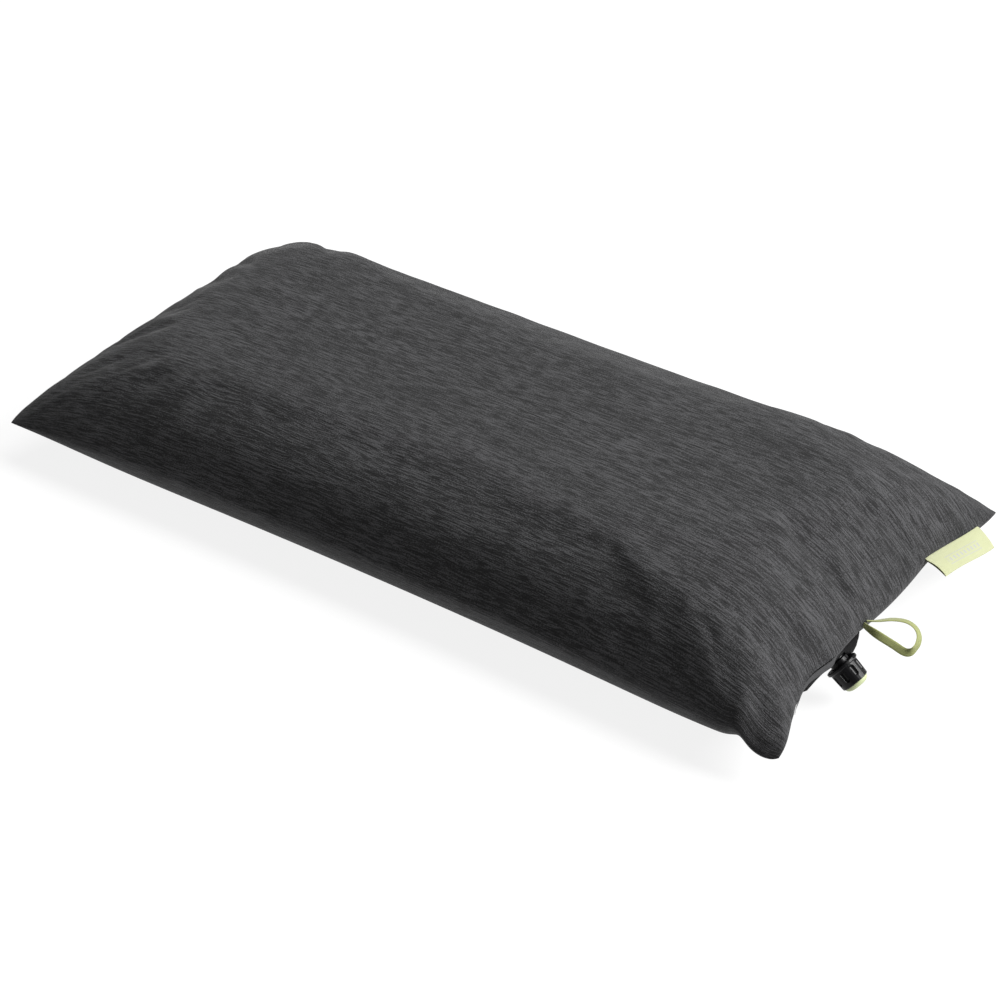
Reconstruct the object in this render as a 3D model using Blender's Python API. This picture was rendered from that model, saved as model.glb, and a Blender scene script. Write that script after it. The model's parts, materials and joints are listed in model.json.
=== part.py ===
"""Camp pillow: a knit cover over a foam pad and an air bladder with a twist valve.

Run it with: blender --background --python part.py
Metres, +Z up. The origin is on the floor under the middle of the pillow, +X points to the
valve end, and -Y is the long side nearer to the valve.
"""

import math

import bmesh
import bpy
from mathutils import Matrix, Vector

# ------------------------------------------------------------------ driving dimensions, metres
LENGTH = 0.660  # between the corner tips, along X
WIDTH = 0.322  # between the corner tips, along Y
SEAM_HEIGHT = 0.040  # side seam above the floor, at the middle of each side
CORNER_DROOP = 0.012  # how far the corner tips hang below that
END_DROOP = 0.0045  # how far the valve-end seam hangs, most of all beside the valve
END_DROOP_Y = -0.035
END_DROOP_REACH = 0.140  # along Y, each way
END_DROOP_FADE = 6  # exponent: higher keeps it nearer to the end
CROWN = 0.051  # top of the pillow above the seam
BELLY = 0.047  # depth of the underside below the seam, before the floor flattens it
END_PULL = 0.012  # how far the short sides pull in between the corners
SIDE_PULL = 0.008  # how far the long sides pull in between the corners
END_FULLNESS = 8.0  # exponents of the crown's profile: higher is flatter on top
SIDE_FULLNESS = 6.8
ROUNDNESS = 0.744  # exponent of the crown's shoulder

GAP = 0.0003  # between faces that touch on the real thing
COVER_CLOTH = 0.0010  # knit cover
SHEET = 0.0008  # coated bladder cloth
FOAM = 0.018  # foam pad, at its middle
FOAM_INSET = 0.022  # foam's edge to the corner tip lines
BLADDER_ROOM = 0.006  # bladder's edge to the cover's seam
WELD = 0.008  # flat welded rim round the bladder
BLADDER_CORNER = 0.020  # its corners are rounded off by this much along X and Y
RIM_STEPS = 2  # facets across each band between the foam's edge and the rim
INNER_STEPS = 4  # facets from the middle line to the foam's edge

BAFFLE_STATION = 1  # step, of INNER_STEPS, at which the outer baffles stand
BAFFLE_REACH = 3  # steps, of INNER_STEPS, that a baffle runs each way from the middle
BAFFLE_WEB = 0.0010
BAFFLE_FLANGE = 0.018  # width of the strip welded to each sheet
BAFFLE_GAP = 0.0008

OPENING_START = -0.110  # the opening in the valve-end seam, along Y
OPENING_END = -0.023
UPPER_LIP = 0.0095  # how far the opening's edges part from the seam line
LOWER_LIP = 0.018
LIP_RECESS = 0.0095  # the lower edge lies this far back, under the valve
LIP_FADE = 0.030  # the lips' shape dies away over this distance
BINDING = 0.0026  # width of the binding tape on each lip
BINDING_THICKNESS = 0.0014
BINDING_SHARE = 0.66  # of the opening's length that the tape covers
BINDING_STEPS = 12

VALVE_BACK = 0.0127  # middle of the weld base's outer face, back from the corner tips' line
VALVE_X = LENGTH / 2 - VALVE_BACK
VALVE_Y = -0.054
VALVE_DROOP = math.radians(38)  # the valve points this far below the horizontal
BASE_HALF_WIDTH = 0.020  # eye-shaped weld base, between the two bladder sheets
BASE_HALF_THICKNESS = 0.0058
BASE_TIP = 0.0006
BASE_LENGTH = 0.0075
BASE_CLEARANCE = 0.0009
BASE_STEPS = 8
BEND_ROOM = 0.0007  # bladder's bend line behind the weld base
SLEEVE_HALF_WIDTH = 0.025  # the sheets part over this half width round the base

NECK_RADIUS = 0.0068
NECK_LENGTH = 0.0170
NECK_ROOT_RADIUS = NECK_RADIUS - 0.0014
NECK_WALL = 0.0012  # at the root
NECK_BORE = NECK_ROOT_RADIUS - NECK_WALL
NECK_ROOT = 0.0006  # the neck is thinner up to here, beside the sheets' edges
THREAD_PITCH = 0.004
THREAD_BEAD = 0.0008  # radius of the round thread
THREAD_START = 0.0120
THREAD_SIDES = 24  # points in each turn

CAP_RIM = 0.0045  # distance of the cap's rim from the base's outer face
CAP_LENGTH = 0.0150
THREAD_ROOM = 0.0012  # between the neck and the cap's bore
CAP_BORE = NECK_RADIUS + THREAD_ROOM
CAP_RIM_WALL = 0.0037
CAP_END_WALL = 0.0019
CAP_RIM_RADIUS = CAP_BORE + CAP_RIM_WALL
CAP_END_RADIUS = CAP_BORE + CAP_END_WALL
CAP_CEILING = 0.0020
CAP_CHAMFER = 0.0005
CAP_HOLE = 0.0037
RECESS_DEPTH = 0.0010  # seat of the mouth ring in the cap's end
FLUTES = 8
FLUTE_RADIUS = 0.0021
FLUTE_DEPTH = 0.0011
FLUTE_START = 0.0030  # from the rim, and from the cap's end
SEAL_GROOVE_AT = 0.0020  # from the rim
SEAL_WIRE = 0.0005  # radius of the cap's seal ring
RUNNING = 0.00035  # clearance between pieces that move on each other

RING_STEP = 0.0011  # between the cap's edge and the mouth ring's
RING_RADIUS = CAP_END_RADIUS - RING_STEP
RING_HEIGHT = 0.0039

CORE_HEIGHT = 0.0030
CORE_WALL = 0.0009
CORE_START = 0.0020
POST_RADIUS = 0.0015
HEAD_RADIUS = 0.0029
HEAD_HEIGHT = 0.0034
HEAD_LIP = 0.0007
HEAD_GROOVE_RADIUS = 0.0018
CORE_SEAL_WIRE = 0.00055
SPOKES = 3
SPOKE_THICKNESS = 0.0012

LOOP_Y = -0.016
LOOP_DROOP = math.radians(16)  # the loop hangs this far below the horizontal
LOOP_ROLL = math.radians(30)  # and its far side is this much higher
LOOP_REACH = 0.0340  # from the seam to the fold
LOOP_BULGE = 0.0175  # how far the far strand bows out
LOOP_NECK = 0.0022  # half the distance between the two ends
TAPE_WIDTH = 0.0050
TAPE_THICKNESS = 0.0012
LOOP_POINTS = 8  # along each strand

TAG_START = 0.0675
TAG_END = 0.1325
TAG_REACH = 0.0170
TAPE_LEAF = 0.0005
TAG_THICKNESS = 0.0014
TAG_DROOP = math.radians(27)

TACK_LENGTH = 0.0030  # bar tacks across the two ends of the opening
TACK_HEIGHT = 0.0060
TACK_THICKNESS = 0.0010

ROUND_STEPS = 36  # facets round the valve's turned pieces
HINGE_OUT = 0.0012  # the sewn pieces' hinge lines stand this far outside the cover
ROOT_BACK = 0.0005  # and their sewn ends reach back this far towards it


# ------------------------------------------------------------------ scene, collections, materials
for old in list(bpy.data.objects):
    bpy.data.objects.remove(old)

pillow = bpy.data.collections.new("camp_pillow")
helpers = bpy.data.collections.new("cutters")
for made_collection in (pillow, helpers):
    bpy.context.scene.collection.children.link(made_collection)


def material(name, colour, roughness):
    """A Principled material; nothing on this pillow is metal."""
    made = bpy.data.materials.new(name)
    made.use_nodes = True
    shader = made.node_tree.nodes["Principled BSDF"]
    shader.inputs["Base Color"].default_value = (*colour, 1)
    shader.inputs["Roughness"].default_value = roughness
    shader.inputs["Metallic"].default_value = 0
    return made


KNIT = material("charcoal_knit", (0.060, 0.060, 0.064), 0.90)
BINDING_CLOTH = material("grey_binding", (0.085, 0.085, 0.090), 0.85)
COATED = material("black_coated_cloth", (0.010, 0.010, 0.011), 0.45)
FOAM_GREY = material("grey_foam", (0.45, 0.46, 0.47), 0.95)
BLACK_PLASTIC = material("black_plastic", (0.008, 0.008, 0.009), 0.28)
LIME_RUBBER = material("lime_rubber", (0.60, 0.66, 0.36), 0.45)
SEAL_RUBBER = material("seal_rubber", (0.03, 0.03, 0.03), 0.55)
LIME_TAPE = material("lime_tape", (0.62, 0.69, 0.22), 0.75)
LIME_LABEL = material("lime_label", (0.72, 0.78, 0.33), 0.70)


def place(name, mesh, finish, collection=pillow):
    made = bpy.data.objects.new(name, mesh)
    made.data.materials.append(finish)
    collection.objects.link(made)
    if collection is helpers:
        made.hide_render = True
        made.display_type = "WIRE"
    return made


# ------------------------------------------------------------------ the pillow's form
# u runs from -1 to 1 along X and v along Y. Every layer uses the same u and v lines, so that
# the facets of neighbouring layers lie parallel.
FOAM_U = 1 - FOAM_INSET / (LENGTH / 2)
FOAM_V = 1 - FOAM_INSET / (WIDTH / 2)
WELD_U = 1 - (WELD + BLADDER_ROOM) / (LENGTH / 2)
WELD_V = 1 - (WELD + BLADDER_ROOM) / (WIDTH / 2)
BLADDER_INSET = COVER_CLOTH + BLADDER_ROOM
BLADDER_CROWN = CROWN - COVER_CLOTH - 2 * GAP - FOAM - SHEET
BLADDER_BELLY = BELLY - COVER_CLOTH - GAP - SHEET

OPENING_CENTRE = (OPENING_START + OPENING_END) / 2
OPENING_HALF = (OPENING_END - OPENING_START) / 2
BEND_X = VALVE_X - (BASE_LENGTH + BEND_ROOM) * math.cos(VALVE_DROOP)
VALVE_SEAM = SEAM_HEIGHT - END_DROOP  # the seam's height at the valve
VALVE_Z = VALVE_SEAM - (VALVE_X - BEND_X) * math.tan(VALVE_DROOP)


def half_lines(foam_edge, weld_edge):
    """Station values from the middle line out: closer together where the crown turns down."""
    inner = [
        foam_edge * math.sin(math.pi / 2 * i / INNER_STEPS) for i in range(INNER_STEPS + 1)
    ]
    rim = []
    for start, end in ((foam_edge, weld_edge), (weld_edge, 1.0)):
        rim += [start + (end - start) * (i + 1) / RIM_STEPS for i in range(RIM_STEPS)]
    return inner + rim


def both_ways(half):
    return sorted([-x for x in half if x > 0] + half)


def bulge(u, v):
    """0 on the seam, 1 on top: the height of the stuffed form as a share of its crown."""
    end = max(0.0, 1 - abs(u) ** END_FULLNESS)
    side = max(0.0, 1 - abs(v) ** SIDE_FULLNESS)
    return (end * side) ** ROUNDNESS


def plan(u, v, inset):
    x = u * (LENGTH / 2 - inset - END_PULL * (1 - v * v))
    y = v * (WIDTH / 2 - inset - SIDE_PULL * (1 - u * u))
    return x, y


def seam(u, v):
    off = (v * WIDTH / 2 - END_DROOP_Y) / END_DROOP_REACH
    hang = max(0.0, 1 - off * off) ** 2 * max(0.0, u) ** END_DROOP_FADE
    return SEAM_HEIGHT - CORNER_DROOP * abs(u * v) ** 4 - END_DROOP * hang


def opening_share(y):
    """0 at the ends of the opening and beyond, 1 at its middle."""
    return max(0.0, 1 - ((y - OPENING_CENTRE) / OPENING_HALF) ** 4)


def sleeve_share(y):
    """1 along the weld base, where the bladder's rim lies in the valve's own plane."""
    offset = (y - OPENING_CENTRE) / OPENING_HALF
    return min(1.0, 2.5 * max(0.0, 1 - offset * offset))


def near_end(x, inset):
    """0 inside the pillow, 1 at the valve-end rim."""
    rim = LENGTH / 2 - inset - END_PULL
    return min(1.0, max(0.0, (x - rim) / LIP_FADE + 1))


def cover_inner(u, v, side):
    x, y = plan(u, v, COVER_CLOTH)
    lip = opening_share(y) * near_end(x, COVER_CLOTH)
    if side > 0:
        z = seam(u, v) + GAP / 2 + (CROWN - COVER_CLOTH) * bulge(u, v) + UPPER_LIP * lip
        return Vector((x, y, z))
    z = seam(u, v) - GAP / 2 - (BELLY - COVER_CLOTH) * bulge(u, v) - LOWER_LIP * lip
    return Vector((x - LIP_RECESS * lip, y, max(z, COVER_CLOTH)))


def cover_outer(u, v, side):
    inner = cover_inner(u, v, side)
    grown = Vector(plan(u, v, 0)) - Vector(plan(u, v, COVER_CLOTH))
    return inner + Vector((grown.x, grown.y, side * COVER_CLOTH))


def bladder_plan(u, v):
    x, y = plan(u, v, BLADDER_INSET)
    rounded = BLADDER_CORNER * abs(u * v) ** 6
    return x - math.copysign(rounded, u), y - math.copysign(rounded, v)


def bladder_inner(u, v, side):
    """The bladder sheet's inner face. Beyond the weld line the sheet is a flat rim, and at the
    valve the rims part round the weld base and droop with it."""
    x, y = bladder_plan(u, v)
    sleeve = 0
    if u > WELD_U:
        share = sleeve_share(y)
        weld_x, rim_x = bladder_plan(WELD_U, v)[0], bladder_plan(1, v)[0]
        bend_x = (weld_x + rim_x) / 2 * (1 - share) + BEND_X * share
        rim_x += share * (VALVE_X - rim_x)
        across = 2 * (u - WELD_U) / (1 - WELD_U)
        x = weld_x + across * (bend_x - weld_x) if across < 1 else bend_x + (across - 1) * (rim_x - bend_x)
        sleeve = share * min(1, across)
    middle = seam(x / (LENGTH / 2), y / (WIDTH / 2))
    middle += sleeve * (VALVE_SEAM - middle)
    middle -= max(0.0, x - BEND_X) * math.tan(VALVE_DROOP) * sleeve
    off = (y - VALVE_Y) / SLEEVE_HALF_WIDTH
    parted = (BASE_HALF_THICKNESS + BASE_CLEARANCE) * max(0.0, 1 - off * off) * sleeve
    lean = VALVE_DROOP * sleeve
    rise = bulge(min(1, abs(u) / WELD_U), min(1, abs(v) / WELD_V))
    full = BLADDER_CROWN if side > 0 else BLADDER_BELLY
    z = middle + side * (GAP / 2 + full * rise + parted * math.cos(lean))
    if side < 0:
        z = max(z, COVER_CLOTH + GAP + SHEET)
    return Vector((x + side * parted * math.sin(lean), y, z))


def bladder_outer(u, v, side):
    return bladder_inner(u, v, side) + Vector((0, 0, side * SHEET))


def foam_top(u, v):
    return cover_inner(u, v, 1) - Vector((0, 0, GAP))


def foam_bottom(u, v):
    return bladder_outer(u, v, 1) + Vector((0, 0, GAP))


# ------------------------------------------------------------------ sheets and pads
def slab(name, us, vs, low, high, finish):
    """A flat grid pulled out to a slab, its faces then moved onto low(u, v) and high(u, v)."""
    bm = bmesh.new()
    bmesh.ops.create_grid(bm, x_segments=len(us) - 1, y_segments=len(vs) - 1, size=1)
    bmesh.ops.triangulate(bm, faces=bm.faces[:], quad_method="FIXED")
    pulled = bmesh.ops.extrude_face_region(bm, geom=bm.faces[:])
    raised = {part for part in pulled["geom"] if isinstance(part, bmesh.types.BMVert)}
    for vert in bm.verts:
        u = us[round((vert.co.x + 1) / 2 * (len(us) - 1))]
        v = vs[round((vert.co.y + 1) / 2 * (len(vs) - 1))]
        vert.co = high(u, v) if vert in raised else low(u, v)
    bmesh.ops.recalc_face_normals(bm, faces=bm.faces[:])
    mesh = bpy.data.meshes.new(name)
    bm.to_mesh(mesh)
    bm.free()
    mesh.shade_smooth()
    mesh.set_sharp_from_angle(angle=math.radians(40))
    return place(name, mesh, finish)


HALF_WIDTH_AT_END = WIDTH / 2 - BLADDER_INSET
opening_lines = [OPENING_START, OPENING_END]
opening_lines += [VALVE_Y + BASE_HALF_WIDTH * k / 2 for k in range(-2, 3)]
U_LINES = both_ways(half_lines(FOAM_U, WELD_U))
V_EVEN = both_ways(half_lines(FOAM_V, WELD_V))
V_LINES = sorted(V_EVEN + [y / HALF_WIDTH_AT_END for y in opening_lines])
FOAM_US = [u for u in U_LINES if abs(u) <= FOAM_U + 1e-6]
FOAM_VS = [v for v in V_LINES if abs(v) <= FOAM_V + 1e-6]


def face_of(surface, side):
    return lambda u, v: surface(u, v, side)


slab("cover_top_panel", U_LINES, V_LINES, face_of(cover_inner, 1), face_of(cover_outer, 1), KNIT)
slab("cover_bottom_panel", U_LINES, V_LINES, face_of(cover_outer, -1), face_of(cover_inner, -1), KNIT)
slab("foam_pad", FOAM_US, FOAM_VS, foam_bottom, foam_top, FOAM_GREY)
slab("bladder_upper_sheet", U_LINES, V_LINES, face_of(bladder_inner, 1), face_of(bladder_outer, 1), COATED)
slab("bladder_lower_sheet", U_LINES, V_LINES, face_of(bladder_outer, -1), face_of(bladder_inner, -1), COATED)


def loft(name, rings, finish):
    """A closed body through rings of points, with flat ends."""
    bm = bmesh.new()
    edges = []
    for ring in rings:
        verts = [bm.verts.new(point) for point in ring]
        edges.append([bm.edges.new((a, b)) for a, b in zip(verts, verts[1:] + verts[:1])])
    for near, far in zip(edges, edges[1:]):
        bmesh.ops.bridge_loops(bm, edges=near + far)
    bmesh.ops.contextual_create(bm, geom=edges[0])
    bmesh.ops.contextual_create(bm, geom=edges[-1])
    bmesh.ops.recalc_face_normals(bm, faces=bm.faces[:])
    mesh = bpy.data.meshes.new(name)
    bm.to_mesh(mesh)
    bm.free()
    return place(name, mesh, finish)


def baffle(name, v):
    """An I-beam of coated cloth that ties the two bladder sheets together along the pillow."""
    outer, web = BAFFLE_FLANGE / 2, BAFFLE_WEB / 2
    section = [(-outer, 0, 0), (outer, 0, 0), (outer, 0, 1), (web, 0, 1), (web, 1, -1), (outer, 1, -1)]
    section += [(outer, 1, 0), (-outer, 1, 0), (-outer, 1, -1), (-web, 1, -1), (-web, 0, 1), (-outer, 0, 1)]
    reach = half_lines(FOAM_U, WELD_U)[: BAFFLE_REACH + 1]
    rings = []
    for u in both_ways(reach):
        low = bladder_inner(u, v, -1) + Vector((0, 0, BAFFLE_GAP))
        high = bladder_inner(u, v, 1) - Vector((0, 0, BAFFLE_GAP))
        ring = []
        for across, top, flange in section:
            end = high if top else low
            ring.append(end + Vector((0, across, flange * SHEET)))
        rings.append(ring)
    return loft(name, rings, COATED)


baffle_v = half_lines(FOAM_V, WELD_V)[BAFFLE_STATION]
baffle("baffle_near", -baffle_v)
baffle("baffle_middle", 0.0)
baffle("baffle_far", baffle_v)


def rim_point(v, side):
    """The cover's rim at the valve end, on the middle of the cloth."""
    return (cover_inner(1, v, side) + cover_outer(1, v, side)) / 2


def binding(name, side):
    """The tape sewn along one lip of the opening."""
    rings = []
    thick = BINDING_THICKNESS / 2
    edge = 2 * GAP + COVER_CLOTH / 2
    for i in range(BINDING_STEPS + 1):
        y = OPENING_CENTRE + OPENING_HALF * BINDING_SHARE * (2 * i / BINDING_STEPS - 1)
        rim = facet_rim(y, side)
        near, far = -side * edge, -side * (edge + BINDING)
        section = ((-thick, near), (thick, near), (thick, far), (-thick, far))
        rings.append([rim + Vector((dx, 0, dz)) for dx, dz in section])
    return loft(name, rings, BINDING_CLOTH)


def facet_rim(y, side):
    """The same at a distance y, read along the cover's own facets, so that sewn pieces follow them."""
    lines = [plan(1, v, COVER_CLOTH)[1] for v in V_LINES]
    after = next(i for i, line in enumerate(lines) if line > y)
    a, b = lines[after - 1], lines[after]
    share = (y - a) / (b - a)
    return rim_point(V_LINES[after - 1], side).lerp(rim_point(V_LINES[after], side), share)


binding("opening_binding_upper", 1)
binding("opening_binding_lower", -1)


# ------------------------------------------------------------------ the valve
# Its pieces are turned round their own Z, which points out along the valve. The height is the
# distance from the weld base's outer face.
valve_axis = bpy.data.objects.new("valve_axis", None)
valve_axis.location = (VALVE_X, VALVE_Y, VALVE_Z)
valve_axis.rotation_euler = (0, math.pi / 2 + VALVE_DROOP, 0)
pillow.objects.link(valve_axis)


def turned(name, profile, finish, collection=pillow, steps=ROUND_STEPS):
    """A closed outline of (radius, height) points, spun once round the Z axis."""
    bm = bmesh.new()
    verts = [bm.verts.new((radius, 0, height)) for radius, height in profile]
    edges = [bm.edges.new((a, b)) for a, b in zip(verts, verts[1:] + verts[:1])]
    bmesh.ops.spin(
        bm,
        geom=verts + edges,
        cent=(0, 0, 0),
        axis=(0, 0, 1),
        angle=2 * math.pi,
        steps=steps,
        use_merge=True,
    )
    bmesh.ops.remove_doubles(bm, verts=bm.verts[:], dist=0.00001)
    on_axis = [e for e in bm.edges if e.verts[0].co.xy.length + e.verts[1].co.xy.length < 0.00001]
    bmesh.ops.delete(bm, geom=on_axis, context="EDGES")
    bmesh.ops.recalc_face_normals(bm, faces=bm.faces[:])
    mesh = bpy.data.meshes.new(name)
    bm.to_mesh(mesh)
    bm.free()
    mesh.shade_smooth()
    mesh.set_sharp_from_angle(angle=math.radians(35))
    return place(name, mesh, finish, collection)


def ring_profile(radius, height, wire, sides=8):
    turn = 2 * math.pi / sides
    return [(radius + wire * math.cos(turn * i), height + wire * math.sin(turn * i)) for i in range(sides)]


def thread(name, radius, start):
    """One turn of round thread, with flat ends, to be joined to a wall."""
    bm = bmesh.new()
    turn = 2 * math.pi / 8
    wire = THREAD_BEAD
    verts = [
        bm.verts.new((radius + wire * math.cos(turn * i), 0, start + wire * math.sin(turn * i)))
        for i in range(8)
    ]
    edges = [bm.edges.new((a, b)) for a, b in zip(verts, verts[1:] + verts[:1])]
    bmesh.ops.spin(
        bm,
        geom=verts + edges,
        cent=(0, 0, 0),
        axis=(0, 0, 1),
        dvec=(0, 0, THREAD_PITCH / THREAD_SIDES),
        angle=2 * math.pi * 0.97,
        steps=THREAD_SIDES,
    )
    bmesh.ops.holes_fill(bm, edges=[e for e in bm.edges if e.is_boundary], sides=0)
    bmesh.ops.recalc_face_normals(bm, faces=bm.faces[:])
    mesh = bpy.data.meshes.new(name)
    bm.to_mesh(mesh)
    bm.free()
    return place(name, mesh, BLACK_PLASTIC, helpers)


def combine(target, operation, tools):
    """Join the tools to the target, or cut them from it."""
    for tool in tools:
        step = target.modifiers.new(operation.lower(), "BOOLEAN")
        step.operation = operation
        step.solver = "EXACT"
        step.object = tool


# weld base: an eye-shaped boat between the two sheets
def eye_ring(height):
    upper = []
    for k in range(BASE_STEPS + 1):
        share = 2 * k / BASE_STEPS - 1
        thickness = BASE_TIP + (BASE_HALF_THICKNESS - BASE_TIP) * (1 - share * share)
        upper.append((share * BASE_HALF_WIDTH, thickness))
    lower = [(y, -x) for y, x in reversed(upper)]
    return [Vector((-x, y, height)) for y, x in upper + lower]


valve_body = loft("valve_body", [eye_ring(-BASE_LENGTH), eye_ring(0)], BLACK_PLASTIC)
valve_body.parent = valve_axis
neck = turned(
    "neck_solid",
    [
        (0, -BASE_LENGTH / 2),
        (NECK_ROOT_RADIUS, -BASE_LENGTH / 2),
        (NECK_ROOT_RADIUS, NECK_ROOT),
        (NECK_RADIUS, NECK_ROOT + 0.0008),
        (NECK_RADIUS, NECK_LENGTH - 0.0004),
        (NECK_RADIUS - 0.0004, NECK_LENGTH),
        (0, NECK_LENGTH),
    ],
    BLACK_PLASTIC,
    helpers,
)
bore = turned(
    "neck_bore",
    [
        (0, -BASE_LENGTH - 0.002),
        (NECK_BORE, -BASE_LENGTH - 0.002),
        (NECK_BORE, NECK_LENGTH + 0.002),
        (0, NECK_LENGTH + 0.002),
    ],
    BLACK_PLASTIC,
    helpers,
)
neck_thread = thread("neck_thread", NECK_RADIUS - 0.0001, THREAD_START)
for tool in (neck, bore, neck_thread):
    tool.parent = valve_axis
combine(valve_body, "UNION", [neck])
combine(valve_body, "UNION", [neck_thread])
combine(valve_body, "DIFFERENCE", [bore])

# stopper core: a ring pressed into the neck, with spokes to a post and a sealing head
CAP_END = CAP_RIM + CAP_LENGTH
HEAD_START = CAP_END - CAP_CEILING
HEAD_TOP = HEAD_START + HEAD_HEIGHT
GROOVE_START = HEAD_START + (HEAD_HEIGHT - 2 * CORE_SEAL_WIRE - 2 * GAP) / 2
GROOVE_END = HEAD_TOP - (GROOVE_START - HEAD_START)
CORE_RADIUS = NECK_BORE - GAP
valve_core = turned(
    "valve_core",
    [
        (0, CORE_START),
        (POST_RADIUS, CORE_START),
        (POST_RADIUS, HEAD_START),
        (HEAD_RADIUS, HEAD_START),
        (HEAD_RADIUS, GROOVE_START),
        (HEAD_GROOVE_RADIUS, GROOVE_START),
        (HEAD_GROOVE_RADIUS, GROOVE_END),
        (HEAD_RADIUS, GROOVE_END),
        (HEAD_RADIUS, HEAD_TOP - HEAD_LIP / 2),
        (HEAD_RADIUS - HEAD_LIP / 2, HEAD_TOP),
        (0, HEAD_TOP),
    ],
    BLACK_PLASTIC,
)
core_ring = turned(
    "core_ring",
    [
        (CORE_RADIUS - CORE_WALL, CORE_START),
        (CORE_RADIUS, CORE_START),
        (CORE_RADIUS, CORE_START + CORE_HEIGHT),
        (CORE_RADIUS - CORE_WALL, CORE_START + CORE_HEIGHT),
    ],
    BLACK_PLASTIC,
    helpers,
)


def spoke(index):
    reach = CORE_RADIUS - CORE_WALL / 2
    bm = bmesh.new()
    bmesh.ops.create_cube(bm, size=1)
    bmesh.ops.scale(bm, verts=bm.verts[:], vec=(reach, SPOKE_THICKNESS, CORE_HEIGHT * 0.7))
    bmesh.ops.translate(bm, verts=bm.verts[:], vec=(reach / 2, 0, CORE_START + CORE_HEIGHT / 2))
    turn = Matrix.Rotation(2 * math.pi * index / SPOKES, 3, "Z")
    bmesh.ops.rotate(bm, verts=bm.verts[:], cent=(0, 0, 0), matrix=turn)
    mesh = bpy.data.meshes.new(f"spoke_{index + 1}")
    bm.to_mesh(mesh)
    bm.free()
    return place(mesh.name, mesh, BLACK_PLASTIC, helpers)


spokes = [spoke(i) for i in range(SPOKES)]
for tool in [core_ring] + spokes:
    tool.parent = valve_axis
combine(valve_core, "UNION", [core_ring] + spokes)
core_seal = turned(
    "core_seal",
    ring_profile(HEAD_GROOVE_RADIUS + GAP + CORE_SEAL_WIRE, (GROOVE_START + GROOVE_END) / 2, CORE_SEAL_WIRE),
    SEAL_RUBBER,
    steps=24,
)
for piece in (valve_core, core_seal):
    piece.parent = valve_axis

# cap: threaded, fluted, with a groove for its seal ring and a seat for the mouth ring
SEAL_RADIUS = NECK_RADIUS + RUNNING + SEAL_WIRE
SEAL_HEIGHT = CAP_RIM + SEAL_GROOVE_AT
GROOVE_RADIUS = SEAL_RADIUS + SEAL_WIRE + GAP
GROOVE_HALF = SEAL_WIRE + GAP
CAP_WALL_RADIUS = CAP_END_RADIUS + 0.0005
RIM_HEIGHT = 0.0024
valve_cap = turned(
    "valve_cap",
    [
        (CAP_BORE, CAP_RIM),
        (CAP_RIM_RADIUS - 0.0004, CAP_RIM),
        (CAP_RIM_RADIUS, CAP_RIM + 0.0004),
        (CAP_RIM_RADIUS, CAP_RIM + RIM_HEIGHT - 0.0006),
        (CAP_RIM_RADIUS - 0.0006, CAP_RIM + RIM_HEIGHT),
        (CAP_WALL_RADIUS, CAP_RIM + RIM_HEIGHT + 0.0002),
        (CAP_END_RADIUS, CAP_END - CAP_CHAMFER),
        (CAP_END_RADIUS - CAP_CHAMFER, CAP_END),
        (RING_RADIUS + GAP, CAP_END),
        (RING_RADIUS + GAP, CAP_END - RECESS_DEPTH),
        (CAP_HOLE, CAP_END - RECESS_DEPTH),
        (CAP_HOLE, CAP_END - CAP_CEILING),
        (CAP_BORE, CAP_END - CAP_CEILING),
        (CAP_BORE, SEAL_HEIGHT + GROOVE_HALF),
        (GROOVE_RADIUS, SEAL_HEIGHT + GROOVE_HALF),
        (GROOVE_RADIUS, SEAL_HEIGHT - GROOVE_HALF),
        (CAP_BORE, SEAL_HEIGHT - GROOVE_HALF),
    ],
    BLACK_PLASTIC,
)


def flute(index):
    """A closed-ended grip hollow."""
    start = CAP_RIM + FLUTE_START
    end = CAP_END - FLUTE_START
    shoulder = FLUTE_RADIUS * 0.7
    cutter = turned(
        f"flute_{index + 1}",
        [
            (0, start),
            (FLUTE_RADIUS - shoulder, start),
            (FLUTE_RADIUS, start + shoulder),
            (FLUTE_RADIUS, end - shoulder),
            (FLUTE_RADIUS - shoulder, end),
            (0, end),
        ],
        BLACK_PLASTIC,
        helpers,
        steps=16,
    )
    angle = 2 * math.pi * (index + 0.5) / FLUTES
    centre = CAP_END_RADIUS + FLUTE_RADIUS - FLUTE_DEPTH
    cutter.location = (centre * math.cos(angle), centre * math.sin(angle), 0)
    return cutter


flutes = [flute(i) for i in range(FLUTES)]
cap_thread = thread("cap_thread", CAP_BORE - 0.0001, THREAD_START - THREAD_PITCH / 2)
for tool in flutes + [cap_thread]:
    tool.parent = valve_axis
combine(valve_cap, "DIFFERENCE", flutes)
combine(valve_cap, "UNION", [cap_thread])
cap_seal = turned("cap_seal", ring_profile(SEAL_RADIUS, SEAL_HEIGHT, SEAL_WIRE), SEAL_RUBBER)
RING_START = CAP_END - RECESS_DEPTH + GAP
mouth_ring = turned(
    "mouth_ring",
    [
        (CAP_HOLE - 0.0001, RING_START),
        (RING_RADIUS, RING_START),
        (RING_RADIUS, CAP_END + 0.0004),
        (RING_RADIUS - 0.0005, CAP_END + 0.0016),
        (RING_RADIUS - 0.0016, RING_START + RING_HEIGHT - 0.0006),
        (RING_RADIUS - 0.0030, RING_START + RING_HEIGHT),
        (CAP_HOLE + 0.0006, RING_START + RING_HEIGHT),
        (CAP_HOLE - 0.0001, RING_START + RING_HEIGHT - 0.0007),
    ],
    LIME_RUBBER,
)
for piece in (valve_cap, cap_seal, mouth_ring):
    piece.parent = valve_axis


# ------------------------------------------------------------------ sewn pieces at the valve end
def seam_line(y):
    """The outermost line of the closed seam at the valve end."""
    v = y / (WIDTH / 2)
    return Vector((plan(1, v, 0)[0], y, (facet_rim(y, 1).z + facet_rim(y, -1).z) / 2))


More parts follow.
